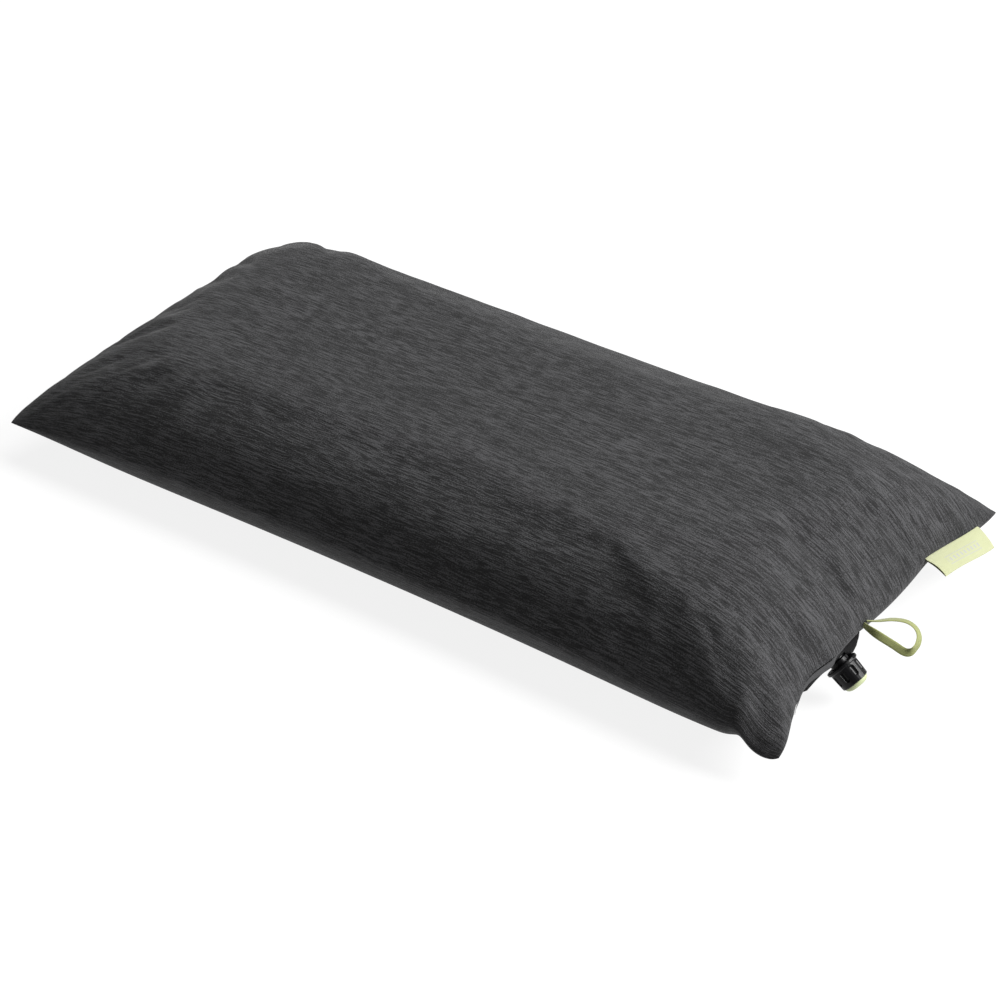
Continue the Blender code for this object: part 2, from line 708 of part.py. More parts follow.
def tape_loop():
    """One strip of tape, folded at its far end, with its two ends side by side in the seam."""
    fold = Vector((LOOP_REACH, -LOOP_NECK, 0))
    near_end_point = Vector((-ROOT_BACK, -LOOP_NECK, 0))
    far_end_point = Vector((-ROOT_BACK * 0.4, LOOP_NECK, 0))
    out_handle = Vector((LOOP_REACH * 1.15, LOOP_BULGE * 1.25, 0))
    back_handle = Vector((LOOP_REACH * 0.35, LOOP_BULGE * 1.35, 0))
    centres = [near_end_point.lerp(fold, i / LOOP_POINTS) for i in range(LOOP_POINTS)]
    for i in range(LOOP_POINTS + 1):
        t = i / LOOP_POINTS
        point = fold * (1 - t) ** 3 + out_handle * 3 * t * (1 - t) ** 2
        centres.append(point + back_handle * 3 * t * t * (1 - t) + far_end_point * t**3)
    rings = []
    for i, centre in enumerate(centres):
        before = (centre - centres[i - 1]).normalized() if i else (centres[1] - centre).normalized()
        after = (centres[i + 1] - centre).normalized() if i + 1 < len(centres) else before
        along = (before + after).normalized()
        side = Vector((-along.y, along.x, 0)) * (TAPE_THICKNESS / 2 / max(0.5, along.dot(before)))
        up = Vector((0, 0, TAPE_WIDTH / 2))
        rings.append([centre - side - up, centre + side - up, centre + side + up, centre - side + up])
    return loft("pull_loop", rings, LIME_TAPE)


pull_loop = tape_loop()
pull_loop.location = seam_line(LOOP_Y) + Vector((HINGE_OUT, 0, 0))
pull_loop.rotation_euler = (
    Matrix.Rotation(LOOP_DROOP, 3, "Y") @ Matrix.Rotation(LOOP_ROLL, 3, "X")
).to_euler()


def folded_tag():
    """A label of one strip folded in two, the fold outermost."""
    half, inner = TAG_THICKNESS / 2, TAG_THICKNESS / 2 - TAPE_LEAF
    section = [(-ROOT_BACK, -half), (TAG_REACH - half, -half), (TAG_REACH, -half * 0.5)]
    section += [(TAG_REACH, half * 0.5), (TAG_REACH - half, half), (-ROOT_BACK, half)]
    section += [(-ROOT_BACK, inner), (TAG_REACH - 2 * half, inner)]
    section += [(TAG_REACH - 2 * half, -inner), (-ROOT_BACK, -inner)]
    reach = (seam_line(TAG_END) - seam_line(TAG_START)).length / 2
    return loft("side_tag", [[Vector((x, y, z)) for x, z in section] for y in (-reach, reach)], LIME_LABEL)


side_tag = folded_tag()
tag_ends = seam_line(TAG_START), seam_line(TAG_END)
along_seam = (tag_ends[1] - tag_ends[0]).normalized()
outward = along_seam.cross(Vector((0, 0, 1))).normalized()
upward = outward.cross(along_seam)
seam_frame = Matrix((outward, along_seam, upward)).transposed()
side_tag.location = (tag_ends[0] + tag_ends[1]) / 2 + outward * HINGE_OUT
side_tag.rotation_euler = (seam_frame @ Matrix.Rotation(TAG_DROOP, 3, "Y")).to_euler()


def bar_tack(name, y):
    """A block of dense stitches that keeps one end of the opening from tearing."""
    rings = []
    for offset in (-TACK_LENGTH / 2, TACK_LENGTH / 2):
        middle = seam_line(y) + Vector((0, offset, 0))
        middle.x = max(seam_line(y + offset).x, seam_line(y - offset).x) + GAP
        high, out = TACK_HEIGHT / 2, TACK_THICKNESS
        corners = ((0, -high), (out, -high * 0.8), (out, high * 0.8), (0, high))
        rings.append([middle + Vector((dx, 0, dz)) for dx, dz in corners])
    return loft(name, rings, BINDING_CLOTH)


bar_tack("opening_tack_near", OPENING_START)
bar_tack("opening_tack_far", OPENING_END)
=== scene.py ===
# %% [markdown]
# # A camp pillow
# The frame holds every piece of the pillow at its real size: the cover, what is inside it, the
# valve, the pull loop and the tag. This lesson gives the pieces that show their real form and
# finish. Everything is in metres, with +X towards the valve and +Z up.

# %% Load the frame
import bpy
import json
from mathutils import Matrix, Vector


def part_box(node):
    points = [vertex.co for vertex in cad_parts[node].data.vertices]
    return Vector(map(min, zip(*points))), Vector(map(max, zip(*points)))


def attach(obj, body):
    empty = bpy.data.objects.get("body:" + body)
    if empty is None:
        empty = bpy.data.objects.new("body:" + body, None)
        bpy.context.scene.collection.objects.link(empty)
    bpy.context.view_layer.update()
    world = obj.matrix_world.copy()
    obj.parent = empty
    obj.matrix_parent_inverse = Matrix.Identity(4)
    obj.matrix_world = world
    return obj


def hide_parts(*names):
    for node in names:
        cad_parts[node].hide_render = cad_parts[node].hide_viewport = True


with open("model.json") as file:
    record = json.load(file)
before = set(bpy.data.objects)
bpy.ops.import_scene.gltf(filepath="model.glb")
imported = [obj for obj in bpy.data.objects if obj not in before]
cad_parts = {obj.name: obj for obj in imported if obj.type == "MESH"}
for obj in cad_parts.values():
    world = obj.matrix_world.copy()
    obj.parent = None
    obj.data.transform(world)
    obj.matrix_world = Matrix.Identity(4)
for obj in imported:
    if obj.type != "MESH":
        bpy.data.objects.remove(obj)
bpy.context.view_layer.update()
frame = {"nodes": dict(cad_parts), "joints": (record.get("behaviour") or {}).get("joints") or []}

import json
import math

import bmesh
import bpy
from mathutils import Matrix, Vector, noise

# %% [markdown]
# ## Shader arithmetic
# A material in Blender is a graph of nodes, and sums are easier to read as sums. This class wraps
# one socket, so that `yarn * 0.6 + weave` adds the Math nodes by itself. `node` adds any other.

# %% A socket that can be added and multiplied
class Value:
    def __init__(self, tree, socket):
        self.tree, self.socket = tree, socket

    def math(self, operation, *others):
        terms = dict(enumerate((self,) + others))
        return node(self.tree, "ShaderNodeMath", {"operation": operation}, terms)

    def __add__(self, other):
        return self.math("ADD", other)

    def __sub__(self, other):
        return self.math("SUBTRACT", other)

    def __mul__(self, other):
        return self.math("MULTIPLY", other)


def node(tree, kind, settings=None, values=None, out=0):
    """Adds a node: its settings first, then what goes into its sockets, by name or number."""
    made = tree.nodes.new(kind)
    for name, setting in (settings or {}).items():
        setattr(made, name, setting)
    for name, value in (values or {}).items():
        socket = made.inputs[name]
        if isinstance(value, Value):
            tree.links.new(value.socket, socket)
        else:
            socket.default_value = value
    return Value(tree, made.outputs[out])


def finish_material(name, fixed):
    """An empty Principled material; fixed holds what is the same all over."""
    made = bpy.data.materials.new(name)
    made.use_nodes = True
    shader = made.node_tree.nodes["Principled BSDF"]
    for socket, value in fixed.items():
        shader.inputs[socket].default_value = value
    return made, made.node_tree, shader


def feed(tree, shader, **links):
    for name, value in links.items():
        tree.links.new(value.socket, shader.inputs[name.replace("_", " ")])


def mix_colour(tree, share, low, high):
    return node(tree, "ShaderNodeMix", {"data_type": "RGBA"}, {0: share, 6: low, 7: high}, out=2)


def bump(tree, height, distance, strength=1.0):
    values = {"Strength": strength, "Distance": distance, "Height": height}
    return node(tree, "ShaderNodeBump", {}, values)


def coordinates(tree, scale, from_uv=False, turn=0.0):
    """Object or UV coordinates in metres, stretched by scale."""
    source = node(tree, "ShaderNodeTexCoord", {}, {}, out="UV" if from_uv else "Object")
    values = {"Vector": source, "Scale": scale, "Rotation": (0, 0, turn)}
    return node(tree, "ShaderNodeMapping", {}, values)


def speckle(tree, at, detail=2.0, roughness=0.5):
    values = {"Vector": at, "Scale": 1.0, "Detail": detail, "Roughness": roughness}
    return node(tree, "ShaderNodeTexNoise", {}, values)


def stretch(tree, value, low, high, new_low=0.0, new_high=1.0):
    """Maps low..high to new_low..new_high, held at both ends."""
    return node(
        tree,
        "ShaderNodeMapRange",
        {"interpolation_type": "SMOOTHSTEP"},
        {"Value": value, "From Min": low, "From Max": high, "To Min": new_low, "To Max": new_high},
    )


# %% [markdown]
# ## Heathered knit
# The cover is a stretch jersey knitted from dark and pale yarns spun together, so it is covered in
# short dashes that all run along the pillow. Noise stretched eleven times longer than it is wide
# gives such dashes. It is laid out on the cloth's own UV map, in metres, so that the dashes turn
# down over the ends with the cloth.

# %% Knit for the cover and the hem
def knit(name, dark, pale):
    made, tree, shader = finish_material(
        name,
        {
            "Metallic": 0.0,
            "Sheen Weight": 0.08,
            "Sheen Roughness": 0.45,
            "Specular IOR Level": 0.25,
        },
    )
    yarn = speckle(tree, coordinates(tree, (95, 1050, 1), True), detail=2.0, roughness=0.55)
    strands = speckle(tree, coordinates(tree, (46, 520, 1), True, 0.02), detail=1.5, roughness=0.5)
    clouds = speckle(tree, coordinates(tree, (12, 60, 1), True), detail=2.0)
    weave = speckle(tree, coordinates(tree, (850, 1250, 1), True), detail=1.0)
    mixed = yarn * 0.34 + strands * 0.20 + clouds * 0.14 + weave * 0.32
    dashes_at = coordinates(tree, (70, 900, 1), True, -0.015)
    dark_dashes = speckle(tree, dashes_at, detail=1.0, roughness=0.4)
    tone = stretch(tree, mixed, 0.425, 0.58) * stretch(tree, dark_dashes, 0.38, 0.47, 0.12, 1.0)
    colour = mix_colour(tree, tone, (*dark, 1), (*pale, 1))
    feed(
        tree,
        shader,
        Base_Color=colour,
        Roughness=stretch(tree, yarn, 0.3, 0.7, 0.78, 0.92),
        Normal=bump(tree, yarn * 0.6 + weave * 0.5 + strands * 0.5, 0.0007, 1.0),
    )
    return made


charcoal_knit = knit("charcoal_knit_cloth", (0.0030, 0.0030, 0.0033), (0.0425, 0.0425, 0.0445))
hem_knit = knit("hem_knit_cloth", (0.010, 0.010, 0.0106), (0.050, 0.050, 0.052))
print("materials:", charcoal_knit.name, hem_knit.name)


# %% [markdown]
# ## Plastics, rubber and coated cloth
# Moulded black plastic is never quite even: a faint unevenness in roughness and a little bump keep
# its highlights soft. The bladder is nylon with a coating, so a fine weave shows through. The
# mouth ring is a soft, pale green rubber, and the pad is grey foam.

# %% Smooth finishes
def moulded(name, colour, roughness, fixed, grain=0.00003, tint=0.85):
    made, tree, shader = finish_material(name, {"Metallic": 0.0, **fixed})
    wide = speckle(tree, coordinates(tree, (120, 120, 120)), detail=3.0)
    fine = speckle(tree, coordinates(tree, (1500, 1500, 1500)), detail=1.0)
    darker = tuple(channel * tint for channel in colour)
    feed(
        tree,
        shader,
        Base_Color=mix_colour(tree, wide, (*darker, 1), (*colour, 1)),
        Roughness=stretch(tree, wide, 0.3, 0.7, roughness, roughness + 0.08),
        Normal=bump(tree, fine + wide * 2, grain, 0.5),
    )
    return made


def coated_cloth(name, colour, roughness):
    made, tree, shader = finish_material(name, {"Metallic": 0.0, "Specular IOR Level": 0.07})
    warp, weft = (
        node(
            tree,
            "ShaderNodeTexWave",
            {"bands_direction": direction},
            {0: coordinates(tree, (1, 1, 1)), "Scale": 260},
        )
        for direction in "XY"
    )
    wide = speckle(tree, coordinates(tree, (60, 60, 60)), detail=3.0)
    darker = tuple(channel * 0.6 for channel in colour)
    feed(
        tree,
        shader,
        Base_Color=mix_colour(tree, wide, (*darker, 1), (*colour, 1)),
        Roughness=stretch(tree, wide, 0.3, 0.7, roughness, roughness + 0.15),
        Normal=bump(tree, warp + weft + wide * 6, 0.0001, 0.5),
    )
    return made


black_plastic = moulded(
    "black_moulded_plastic", (0.004, 0.004, 0.0046), 0.30, {"Specular IOR Level": 0.16}
)
lime_rubber = moulded("pale_lime_rubber", (0.36, 0.40, 0.22), 0.42, {}, tint=0.95)
seal_rubber = moulded("seal_rubber_black", (0.02, 0.02, 0.02), 0.5, {})
foam_grey = moulded("open_cell_foam", (0.45, 0.46, 0.47), 0.9, {}, grain=0.0003)
black_cloth = coated_cloth("black_coated_nylon", (0.0030, 0.0030, 0.0034), 0.5)


# %% [markdown]
# ## Woven tape
# The pull loop is a flat polyester tape with ribs along it, and the tag is a soft folded label of
# finer weave. Both follow their own UV map: U runs along the tape and V across it, in metres.

# %% Tape and label cloth
def woven(name, pale, deep, rib, weft, mark=None):
    made, tree, shader = finish_material(
        name, {"Metallic": 0.0, "Sheen Weight": 0.3, "Specular IOR Level": 0.3}
    )
    place = node(tree, "ShaderNodeSeparateXYZ", {}, {0: coordinates(tree, (1, 1, 1), True)})
    along = Value(tree, place.socket.node.outputs["X"])
    across = Value(tree, place.socket.node.outputs["Y"])
    ribs = (across * (2 * math.pi / rib)).math("SINE") * 0.5 + 0.5
    picks = (along * (2 * math.pi / weft)).math("SINE") * 0.5 + 0.5
    fuzz = speckle(tree, coordinates(tree, (900, 2500, 1), True), detail=2.0)
    wear = speckle(tree, coordinates(tree, (90, 300, 1), True), detail=2.0)
    tone = stretch(tree, ribs * 0.35 + picks * 0.12 + fuzz * 0.35 + wear * 0.25, 0.25, 0.85)
    colour = mix_colour(tree, tone, (*deep, 1), (*pale, 1))
    if mark:
        colour = mix_colour(tree, mark(along, across), colour, (0.24, 0.24, 0.27, 1))
    feed(
        tree,
        shader,
        Base_Color=colour,
        Roughness=stretch(tree, fuzz, 0.3, 0.7, 0.7, 0.88),
        Normal=bump(tree, ribs * 0.6 + picks * 0.3 + fuzz * 0.3, 0.00018, 0.8),
    )
    return made


def dashes_band(along, across):
    """A plain woven border: a row of short grey bars between two thin lines."""
    bar_spacing, bar_half, row_middle, row_half = 0.0042, 0.0016, 0.0088, 0.0195
    line_offset, line_half = 0.0034, 0.00028
    bars = (along * (2 * math.pi / bar_spacing)).math("SINE").math("GREATER_THAN", 0.25)
    from_middle = (across - row_middle).math("ABSOLUTE")
    row = from_middle.math("LESS_THAN", bar_half)
    line = (from_middle - line_offset).math("ABSOLUTE").math("LESS_THAN", line_half)
    length = along.math("ABSOLUTE").math("LESS_THAN", row_half)
    return (bars * row + line).math("MINIMUM", 1.0) * length * 0.75


lime_tape = woven("lime_ribbed_tape", (0.245, 0.26, 0.100), (0.14, 0.155, 0.045), 0.00105, 0.0006)
lime_label = woven(
    "pale_lime_label", (0.335, 0.345, 0.205), (0.265, 0.28, 0.15), 0.0005, 0.0007, dashes_band
)
print("tape and label ready")

# %% [markdown]
# ## Finishes for the pieces that keep their own shape
# The valve's pieces, and what is inside the cover, are already the right shape. They only need
# their material slots filled.

# %% Assign the finishes
KEPT = {
    "valve_body": black_plastic,
    "valve_core": black_plastic,
    "core_seal": seal_rubber,
    "cap_seal": seal_rubber,
    "valve_cap": black_plastic,
    "mouth_ring": lime_rubber,
    "bladder_upper_sheet": black_cloth,
    "bladder_lower_sheet": black_cloth,
    "baffle_near": black_cloth,
    "baffle_middle": black_cloth,
    "baffle_far": black_cloth,
}
for name, finish in KEPT.items():
    frame["nodes"][name].material_slots[0].material = finish
print(len(KEPT), "pieces keep their shape")


def new_piece(name, bm, finish, body="pillow", smooth=40):
    """Turns a bmesh into a finished piece that rides on a body of the frame."""
    mesh = bpy.data.meshes.new(name)
    bm.to_mesh(mesh)
    bm.free()
    mesh.materials.append(finish)
    mesh.shade_smooth()
    mesh.set_sharp_from_angle(angle=math.radians(smooth))
    piece = bpy.data.objects.new(name, mesh)
    bpy.context.scene.collection.objects.link(piece)
    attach(piece, body)
    return piece


# %% [markdown]
# ## The stuffed form
# A pillow is two flat panels sewn together at the edge. Blown up, it is flat on top, falls away
# steeply at the seam, and its sides pull in between the corners. `crown` is that profile: 1 on
# top and 0 at the seam. Both panels are grids whose points are moved onto it.

# %% The form's measures
HALF_LENGTH, HALF_WIDTH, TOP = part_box("cover_top_panel")[1]
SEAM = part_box("cover_bottom_panel")[1][2]
END_PULL, SIDE_PULL = 0.0125, 0.008  # how far the ends and the sides pull in between corners
RISE = TOP - SEAM
BELLY = SEAM + 0.007  # more than the seam's height, so the underside lies flat on the floor
FLOOR_GAP = 0.0002
OPEN_FROM, OPEN_TO = -0.112, -0.024
OPEN_MIDDLE, OPEN_HALF = (OPEN_FROM + OPEN_TO) / 2, (OPEN_TO - OPEN_FROM) / 2
EAR_NEAR, EAR_FAR = 0.0062, 0.0035  # how far the valve end's two corners stand out
RECESS, RECESS_Y, RECESS_HALF = 0.0055, -0.094, 0.032  # the bay before the near corner
CORNER_DROP, VALVE_CORNER_DROP = 0.012, 0.009
PINCH, EAR_DROP = 0.004, 0.006
HANG, HANG_Y, HANG_HALF = 0.0045, -0.035, 0.140  # the seam hangs beside the valve
LIP_LIFT, LIP_OUT, LIP_DROP, LIP_BACK = 0.0050, 0.0015, 0.018, 0.0100  # how the lips part
print(f"form {2 * HALF_LENGTH:.3f} x {2 * HALF_WIDTH:.3f} m, top at {TOP:.3f}, seam at {SEAM:.3f}")


def ease(t):
    t = min(1.0, max(0.0, t))
    return t * t * (3 - 2 * t)


def crown(u, v):
    fuller = max(0.0, 1 - ((v - 0.15) / 0.85) ** 2) if u < 0 else 0.0
    end = max(0.0, 1 - abs(u) ** (8.0 - 2.0 * (u < 0) + 4.5 * fuller))
    side = max(0.0, 1 - abs(v) ** 6.8)
    return (end * side) ** 0.744


# where the top lies lower than that: place, reach each way, depth
HOLLOWS = (
    ((-0.93, 0.86), (0.060, 0.22), 0.0125),
    ((0.86, 0.88), (0.130, 0.20), 0.0095),
    ((0.35, 0.86), (0.400, 0.20), 0.0026),
    ((-0.70, 0.90), (0.120, 0.20), -0.0026),
)


def hollow(u, v):
    total = 0.0
    for (at_u, at_v), (along, across), depth in HOLLOWS:
        total += depth * math.exp(-(((u - at_u) / along) ** 2) - ((v - at_v) / across) ** 2)
    return total * min(1.0, 6 * (1 - max(abs(u), abs(v))))


def outline(u, v):
    x = u * (HALF_LENGTH - END_PULL * (1 - v * v))
    y = v * (HALF_WIDTH - SIDE_PULL * (1 - u * u))
    blunt = (0.0012 if u > 0 > v else 0.0025) * abs(u * v) ** 22
    x, y = x - math.copysign(blunt, u), y - math.copysign(blunt, v)
    ears = EAR_NEAR * ease((-v - 0.72) / 0.24) + EAR_FAR * ease((v - 0.55) / 0.3)
    recess = max(0.0, 1 - ((y - RECESS_Y) / RECESS_HALF) ** 2) ** 2 * max(0.0, u) ** 10
    return x + ease((u - 0.93) / 0.06) * ears - RECESS * recess, y


def seam_height(u, v):
    """The seam dips at the corners. Beside the valve it is pinched just before the corner."""
    corner = CORNER_DROP * abs(u * v) ** 4
    if u > 0 and v > 0:
        corner = VALVE_CORNER_DROP * ease((v - 0.4) / 0.45) * u**4
    near = ease((-v - 0.8) / 0.2)
    pinch = math.exp(-(((u - 0.915) / 0.022) ** 2)) * near
    ear = math.sin(math.pi * min(1.0, max(0.0, (u - 0.93) / 0.07))) * near
    off = (v * HALF_WIDTH - HANG_Y) / HANG_HALF
    hang = max(0.0, 1 - off * off) ** 2 * max(0.0, u) ** 6
    return SEAM - corner + PINCH * pinch - EAR_DROP * ear - HANG * hang


def lip_share(y):
    """1 in the middle of the opening and 0 at its ends."""
    return max(0.0, 1 - ((y - OPEN_MIDDLE) / OPEN_HALF) ** 4)


def fold(x, y, at, way, reach, width):
    """A soft ridge that starts at a point of the seam and dies away along `way`."""
    offset, heading = Vector((x, y)) - Vector(at), Vector(way).normalized()
    along = offset.dot(heading)
    if along < -0.01 or along > reach:
        return 0.0
    across = offset.x * heading.y - offset.y * heading.x
    spread = width * (0.6 + 1.6 * along / reach)
    fade = (1 - along / reach) ** 1.5 * ease((along + 0.01) / 0.02)
    return math.exp(-((across / spread) ** 2)) * fade


# start, direction, reach, half width, height: tension folds that leave the seam
FOLDS = (
    ((0.312, -0.022), (-1.0, 0.25), 0.060, 0.0036, -0.0026),
    ((0.312, -0.013), (-1.0, 0.40), 0.060, 0.0040, 0.0018),
    ((0.312, -0.033), (-1.0, 0.00), 0.055, 0.0045, 0.0016),
    ((0.312, -0.112), (-1.0, -0.10), 0.055, 0.0036, -0.0018),
    ((0.312, -0.101), (-1.0, 0.10), 0.050, 0.0040, 0.0014),
    ((0.316, 0.060), (-1.0, -0.30), 0.045, 0.0040, -0.0012),
    ((0.318, -0.146), (-1.0, 0.30), 0.060, 0.0050, -0.0024),
    ((0.302, -0.151), (-0.7, 0.45), 0.045, 0.0045, -0.0020),
    ((0.318, 0.150), (-1.0, -0.45), 0.070, 0.0080, -0.0012),
    ((-0.318, -0.150), (1.0, 0.50), 0.070, 0.0080, -0.0012),
    ((-0.318, 0.150), (1.0, -0.50), 0.070, 0.0080, -0.0012),
)


def cover_point(u, v, side):
    """A point of the cover: side is 1 on the upper panel and -1 on the lower one."""
    x, y = outline(u, v)
    height = crown(u, v)
    rim = ease((x - (HALF_LENGTH - END_PULL - 0.030)) / 0.030) * lip_share(y)
    if side > 0:
        z = seam_height(u, v) + RISE * height - hollow(u, v)
        z += rim * LIP_LIFT
        x += rim * LIP_OUT
        z += sum(lift * fold(x, y, at, way, reach, width) for at, way, reach, width, lift in FOLDS)
        pucker = noise.noise(Vector((x * 38, y * 38, 2.0)))
        z += 0.0016 * pucker * (1 - height) * min(1, height * 4)
        return Vector((x, y, z))
    z = seam_height(u, v) - BELLY * height - LIP_DROP * rim
    x -= LIP_BACK * rim
    full = max(0.0, 1 - ((y - 0.032) / 0.055) ** 2) * max(0.0, u) ** 4
    x += 0.0065 * full * math.sin(math.pi * min(1.0, 1.5 * height))
    return Vector((x, y, max(z, FLOOR_GAP)))


# %% [markdown]
# ## Sewing the cover
# Each panel starts as one of Blender's grids. The two are joined along their rims by merging the
# points that meet. At the valve end the rims part, so they don't merge there and the opening
# stays open. The UV map holds the distance along the cloth in metres.

# %% Cover panels
STEPS_ALONG, STEPS_ACROSS = 150, 84


def denser(t):
    """Moves grid lines towards the rim, where the cloth turns down."""
    return t * (1.22 - 0.22 * t * t)


def arc_table(points):
    """Distance along a row of points, counted from its middle."""
    lengths = [0.0]
    for before, after in zip(points, points[1:]):
        lengths.append(lengths[-1] + (after - before).length)
    middle = lengths[len(lengths) // 2]
    return [length - middle for length in lengths]


def grid_place(vert, columns, rows):
    """Which column and row of a new grid a point is in."""
    return round((vert.co.x + 1) / 2 * columns), round((vert.co.y + 1) / 2 * rows)


LOWER_PANEL_U = 2.0  # the lower panel's UV island lies this far along


def sewn_cover():
    bm = bmesh.new()
    uv = bm.loops.layers.uv.new("cloth")
    for side in (1, -1):
        before = set(bm.verts)
        old_faces = set(bm.faces)
        bmesh.ops.create_grid(bm, x_segments=STEPS_ALONG, y_segments=STEPS_ACROSS, size=1)
        fresh = [vert for vert in bm.verts if vert not in before]
        faces = [face for face in bm.faces if face not in old_faces]
        us = [denser(2 * i / STEPS_ALONG - 1) for i in range(STEPS_ALONG + 1)]
        vs = [denser(2 * j / STEPS_ACROSS - 1) for j in range(STEPS_ACROSS + 1)]
        along = arc_table([cover_point(u, 0, side) for u in us])
        across = arc_table([cover_point(0, v, side) for v in vs])
        for face in faces:
            for loop in face.loops:
                i, j = grid_place(loop.vert, STEPS_ALONG, STEPS_ACROSS)
                loop[uv].uv = (along[i] + (LOWER_PANEL_U if side < 0 else 0.0), across[j])
        for vert in fresh:
            i, j = grid_place(vert, STEPS_ALONG, STEPS_ACROSS)
            vert.co = cover_point(us[i], vs[j], side)
        if side < 0:
            bmesh.ops.reverse_faces(bm, faces=faces)
    bmesh.ops.remove_doubles(bm, verts=bm.verts[:], dist=0.0001)
    return bm


cover = new_piece("cover_cloth", sewn_cover(), charcoal_knit)
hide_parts("cover_top_panel", "cover_bottom_panel")
print("cover:", len(cover.data.vertices), "points")


# %% [markdown]
# ## The foam under the cover
# A pad of open-cell foam lies on the bladder, just under the cover. It is another grid with two
# faces, 11 mm apart, and both follow the cover's upper panel.

# %% Foam pad
def foam_body():
    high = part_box("foam_pad")[1]
    bm = bmesh.new()
    bmesh.ops.create_grid(bm, x_segments=48, y_segments=28, size=1)
    pulled = bmesh.ops.extrude_face_region(bm, geom=bm.faces[:])
    raised = {part for part in pulled["geom"] if isinstance(part, bmesh.types.BMVert)}
    for vert in bm.verts:
        u, v = vert.co.x * high[0] / HALF_LENGTH, vert.co.y * high[1] / HALF_WIDTH
        lowered = 0.0055 if vert in raised else 0.0165
        vert.co = cover_point(u * 0.985, v * 0.98, 1) - Vector((0, 0, lowered))
    bmesh.ops.recalc_face_normals(bm, faces=bm.faces[:])
    return bm


foam = new_piece("foam_filling", foam_body(), foam_grey)
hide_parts("foam_pad")
print("foam:", len(foam.data.polygons), "faces")

# %% [markdown]
# ## Blowing it up
# Cloth simulation gives the upper panel the small unevenness of real cloth under tension. The
# seam, the opening's lips and the lower panel are pinned, air pushes from inside, and no point
# may move further than a few millimetres. The result is applied, so the piece is plain mesh.

# %% Cloth simulation
def inflate(piece, pinned, pressure=3.0, frames=18, most=0.004):
    group = piece.vertex_groups.new(name="pinned")
    group.add(pinned, 1.0, "REPLACE")
    start = [vert.co.copy() for vert in piece.data.vertices]
    cloth = piece.modifiers.new("air", "CLOTH")
    cloth.settings.quality = 5
    cloth.settings.mass = 0.15
    cloth.settings.use_pressure = True
    cloth.settings.uniform_pressure_force = pressure
    cloth.settings.vertex_group_mass = "pinned"
    cloth.settings.tension_stiffness = 12
    cloth.settings.compression_stiffness = 8
    cloth.settings.bending_stiffness = 0.15
    cloth.settings.shrink_min = -0.012
    cloth.settings.effector_weights.gravity = 0
    cloth.collision_settings.use_collision = False
    scene = bpy.context.scene
    for step in range(1, frames + 1):
        scene.frame_set(step)
    puffed = piece.evaluated_get(bpy.context.evaluated_depsgraph_get()).data
    ends = [vert.co.copy() for vert in puffed.vertices]
    piece.modifiers.remove(cloth)
    piece.vertex_groups.remove(group)
    scene.frame_set(1)
    moved = 0.0
    for vert, was, now in zip(piece.data.vertices, start, ends):
        shift = now - was
        if shift.length > most:
            shift.length = most
        moved = max(moved, shift.length)
        vert.co = was + shift
        vert.co.z = max(vert.co.z, FLOOR_GAP)
    return moved


def held_points(mesh):
    """The lips' points, and all points of the lower panel, whose rim is the seam."""
    bm = bmesh.new()
    bm.from_mesh(mesh)
    uv = bm.loops.layers.uv["cloth"]
    held = {vert.index for edge in bm.edges if edge.is_boundary for vert in edge.verts}
    for vert in bm.verts:
        if any(loop[uv].uv.x > LOWER_PANEL_U / 2 for loop in vert.link_loops):
            held.add(vert.index)
    bm.free()
    return sorted(held)


moved = inflate(cover, held_points(cover.data))
print(f"the cloth moved up to {moved * 1000:.1f} mm")
smoother = cover.modifiers.new("smooth_cloth", "SUBSURF")
smoother.levels = smoother.render_levels = 1

# %% [markdown]
# ## The hem of the opening
# The opening's two lips are turned over and stitched, which leaves a narrow, slightly paler
# band. `strip` sweeps a rounded section along a row of points and bridges the rings.


# %% Hem bands
def strip(rings):
    """Bridges rings of points into a tube and closes its ends."""
    bm = bmesh.new()
    loops = []
    for ring in rings:
        verts = [bm.verts.new(point) for point in ring]
        loops.append([bm.edges.new((a, b)) for a, b in zip(verts, verts[1:] + verts[:1])])
    for near, far in zip(loops, loops[1:]):
        bmesh.ops.bridge_loops(bm, edges=near + far)
    bmesh.ops.holes_fill(bm, edges=[edge for edge in bm.edges if edge.is_boundary], sides=0)
    bmesh.ops.recalc_face_normals(bm, faces=bm.faces[:])
    return bm


def rim_point(y, side=1, u=1):
    """The end of a panel, or a point just inside it, at a distance y across the pillow."""
    return cover_point(u, y / HALF_WIDTH, side)


def hem_band(side, start, end, width, thickness, lower, full_to=1.0, steps=70):
    """A rounded band along a lip: it tapers to nothing at both ends, and is slim past full_to."""
    rings = []
    for i in range(steps + 1):
        share = i / steps
        y = start + (end - start) * share
        slimmer = 0.34 + 0.66 * ease((full_to + 0.1 - share) / 0.1)
        size = max(0.10, min(1.0, share * 2.4, (1 - share) * 6, slimmer))
        rim = rim_point(y, side)
        inward = (rim_point(y, side, 0.985) - rim).normalized()
        outward = Vector((1, 0, 0.35 * side)).normalized()
        outward = (outward - inward * outward.dot(inward)).normalized()
        wave = 0.0003 * noise.noise(Vector((y * 160, side, 0.5)))
        ring = []
        for k in range(12):
            turn = 2 * math.pi * k / 12
            cos, sin = math.cos(turn), math.sin(turn)
            reach = math.copysign(abs(cos) ** 0.6, cos) * width / 2 * size
            depth = math.copysign(abs(sin) ** 0.8, sin) * thickness / 2 * size
            ring.append(rim - inward * (lower * size - reach) + outward * (depth + wave - 0.0006))
        rings.append(ring)
    return strip(rings)


